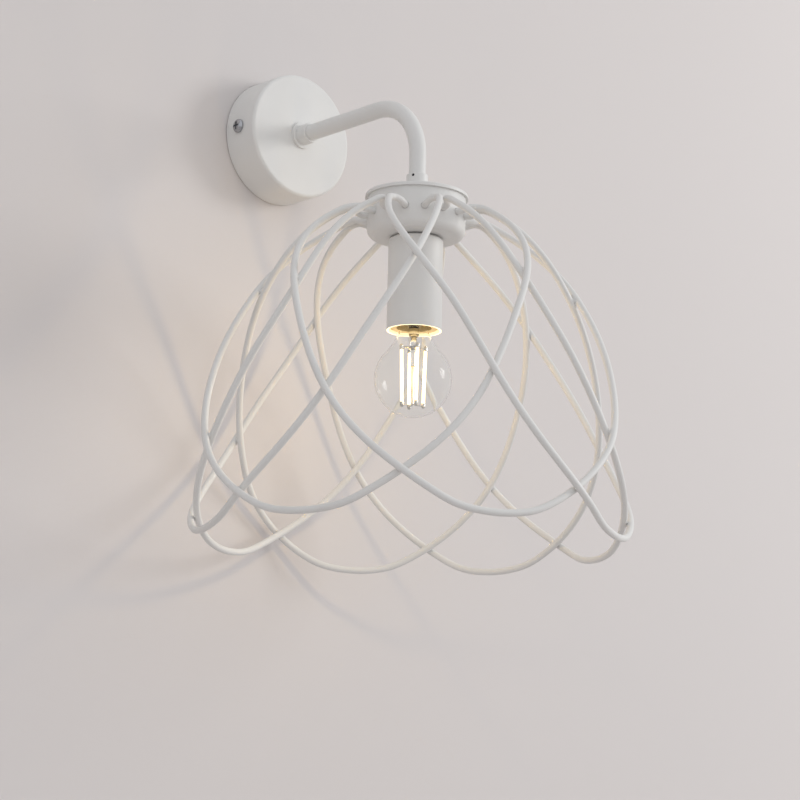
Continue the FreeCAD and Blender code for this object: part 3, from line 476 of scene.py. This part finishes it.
class LIGHT_OT_bulb(bpy.types.Operator):
    """Make the bulb's glass clear and light its filaments"""
    bl_idname = "cagelight.bulb"
    bl_label = "Lit bulb"

    def execute(self, context):
        settings = context.scene.cage_bulb
        wear(("glass_globe",), clear_glass())
        wear(("glass_stem",), stem_glass())
        wear(("filaments",), lit_filament(settings))
        low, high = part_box("filaments")
        for name in ("glass_globe", "glass_stem", "filaments", "support_wires"):
            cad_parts[name].visible_shadow = False
        deselect()
        bpy.ops.object.light_add(type="POINT", location=(low + high) / 2)
        lamp = context.object
        lamp.name = "bulb_light"
        lamp.data.energy = settings.lamp_power
        lamp.data.color = settings.glow
        lamp.data.shadow_soft_size = BULB_LAMP_RADIUS
        lamp.visible_camera = False
        lamp.visible_transmission = False
        lamp.visible_glossy = False
        return {"FINISHED"}


class LIGHT_OT_welds(bpy.types.Operator):
    """Set a small weld bead wherever two wires of the cage cross"""
    bl_idname = "cagelight.welds"
    bl_label = "Weld beads"

    def execute(self, context):
        pattern = model_bead(context.scene.cage_weld.reach)
        beads = [set_copy(pattern, place, way, BEAD_SPIN * index)
                 for index, (place, way) in enumerate(touching_places())]
        bpy.data.objects.remove(pattern)
        if len(beads) < len(LOOPS):
            raise RuntimeError("the wires cross in only %d places" % len(beads))
        join_as("weld_beads", beads, weld_coat(context.scene.cage_coat), "light")
        return {"FINISHED"}


class LIGHT_OT_end_caps(bpy.types.Operator):
    """Crimp a metal cap on both ends of each filament"""
    bl_idname = "cagelight.end_caps"
    bl_label = "Filament ends"

    def execute(self, context):
        pattern = model_end_cap(STICK_CAP_RADIUS, STICK_CAP_LENGTH)
        caps = [set_copy(pattern, place, way, 0.0) for place, way in stick_ends()]
        bpy.data.objects.remove(pattern)
        if len(caps) != 2 * STICKS:
            raise RuntimeError("found %d filament ends" % len(caps))
        piece = join_as("filament_ends", caps, nickel_cap(), "bulb_core")
        piece.visible_shadow = False
        return {"FINISHED"}


def one_sided(name, colour):
    """Paint that shows from its front only, so that the light can be seen from behind."""
    paint = Finish(name, colour, 0.85)
    paint.tint(paint.noise(1.6, 2.0), 0.985, 1.01)
    paint.bump(paint.noise(900.0, 2.0), 0.00003, 0.3)
    clear = paint.nodes.new("ShaderNodeBsdfTransparent")
    side = paint.nodes.new("ShaderNodeNewGeometry")
    mix = paint.nodes.new("ShaderNodeMixShader")
    paint.links.new(side.outputs["Backfacing"], mix.inputs[0])
    paint.links.new(paint.shader.outputs[0], mix.inputs[1])
    paint.links.new(clear.outputs[0], mix.inputs[2])
    paint.links.new(mix.outputs[0], paint.nodes["Material Output"].inputs["Surface"])
    return paint.material


def flat_sheet(name, centre, turn, material):
    """A wide flat sheet of the stage."""
    deselect()
    bpy.ops.mesh.primitive_plane_add(size=SHEET_WIDTH, location=centre, rotation=turn)
    sheet = bpy.context.object
    sheet.name = name
    bpy.ops.object.transform_apply(location=True, rotation=True, scale=True)
    sheet.data.materials.append(material)


def soft_lamp(name, place, target, width, power, colour):
    """A round lamp that faces a target."""
    deselect()
    bpy.ops.object.light_add(type="AREA", location=place)
    lamp = bpy.context.object
    lamp.name = name
    lamp.data.shape = "DISK"
    lamp.data.size = width
    lamp.data.energy = power
    lamp.data.color = colour
    way = Vector(target) - Vector(place)
    lamp.rotation_euler = way.to_track_quat("-Z", "Y").to_euler()


class LIGHT_OT_stage(bpy.types.Operator):
    """Set the wall, floor, lamps, room light and camera"""
    bl_idname = "cagelight.stage"
    bl_label = "Wall, lamps and camera"

    def execute(self, context):
        scene = context.scene
        settings = scene.cage_stage
        paint = one_sided("wall_paint", tuple(settings.wall))
        flat_sheet("wall", WALL_BEHIND, (math.radians(90), 0, 0), paint)
        flat_sheet("floor", FLOOR_PLACE, (0, 0, 0), paint)
        soft_lamp("key_lamp", KEY_PLACE, LIGHT_MIDDLE, KEY_WIDTH, settings.key_power, KEY_COLOUR)
        world = bpy.data.worlds.new("room")
        world.use_nodes = True
        background = world.node_tree.nodes["Background"]
        background.inputs["Color"].default_value = ROOM_COLOUR
        background.inputs["Strength"].default_value = settings.sky
        scene.world = world
        self.point_camera(scene, settings)
        scene.view_settings.view_transform = "Standard"
        return {"FINISHED"}

    def point_camera(self, scene, settings):
        """Set the camera low on the left, where the photograph was taken from."""
        right = Vector(CAMERA_RIGHT)
        up = Vector(CAMERA_UP)
        back = right.cross(up)
        deselect()
        bpy.ops.object.camera_add()
        camera = bpy.context.object
        turn = Matrix((right, up, back)).transposed().to_4x4()
        camera.matrix_world = Matrix.Translation(CAMERA_PLACE) @ turn
        camera.data.lens = settings.lens
        camera.data.sensor_width = CAMERA_SENSOR
        camera.data.clip_start = CAMERA_NEAR
        camera.data.clip_end = CAMERA_FAR
        scene.camera = camera


# ---- panel and main -----------------------------------------------------------------------
STEPS = (LIGHT_OT_stage, LIGHT_OT_coat, LIGHT_OT_metal, LIGHT_OT_plastic, LIGHT_OT_bulb,
         LIGHT_OT_end_caps, LIGHT_OT_welds)


class LIGHT_PT_panel(bpy.types.Panel):
    """Lists the light's settings and steps"""
    bl_idname = "LIGHT_PT_panel"
    bl_label = "Cage light"
    bl_space_type = "VIEW_3D"
    bl_region_type = "UI"
    bl_category = "Cage light"

    def draw(self, context):
        for group in ("cage_coat", "cage_bulb", "cage_weld", "cage_stage"):
            settings = getattr(context.scene, group)
            for key in settings.__annotations__:
                self.layout.prop(settings, key)
        for step in STEPS:
            self.layout.operator(step.bl_idname)


CLASSES = (CoatSettings, BulbSettings, WeldSettings, StageSettings) + STEPS + (LIGHT_PT_panel,)


def register():
    for kind in CLASSES:
        bpy.utils.register_class(kind)
    bpy.types.Scene.cage_coat = PointerProperty(type=CoatSettings)
    bpy.types.Scene.cage_bulb = PointerProperty(type=BulbSettings)
    bpy.types.Scene.cage_weld = PointerProperty(type=WeldSettings)
    bpy.types.Scene.cage_stage = PointerProperty(type=StageSettings)


def unregister():
    del bpy.types.Scene.cage_coat
    del bpy.types.Scene.cage_bulb
    del bpy.types.Scene.cage_weld
    del bpy.types.Scene.cage_stage
    for kind in reversed(CLASSES):
        bpy.utils.unregister_class(kind)


def main():
    register()
    bpy.ops.cagelight.stage()
    bpy.ops.cagelight.coat()
    bpy.ops.cagelight.metal()
    bpy.ops.cagelight.plastic()
    bpy.ops.cagelight.bulb()
    bpy.ops.cagelight.end_caps()
    bpy.ops.cagelight.welds()


if __name__ == "__main__":
    main()
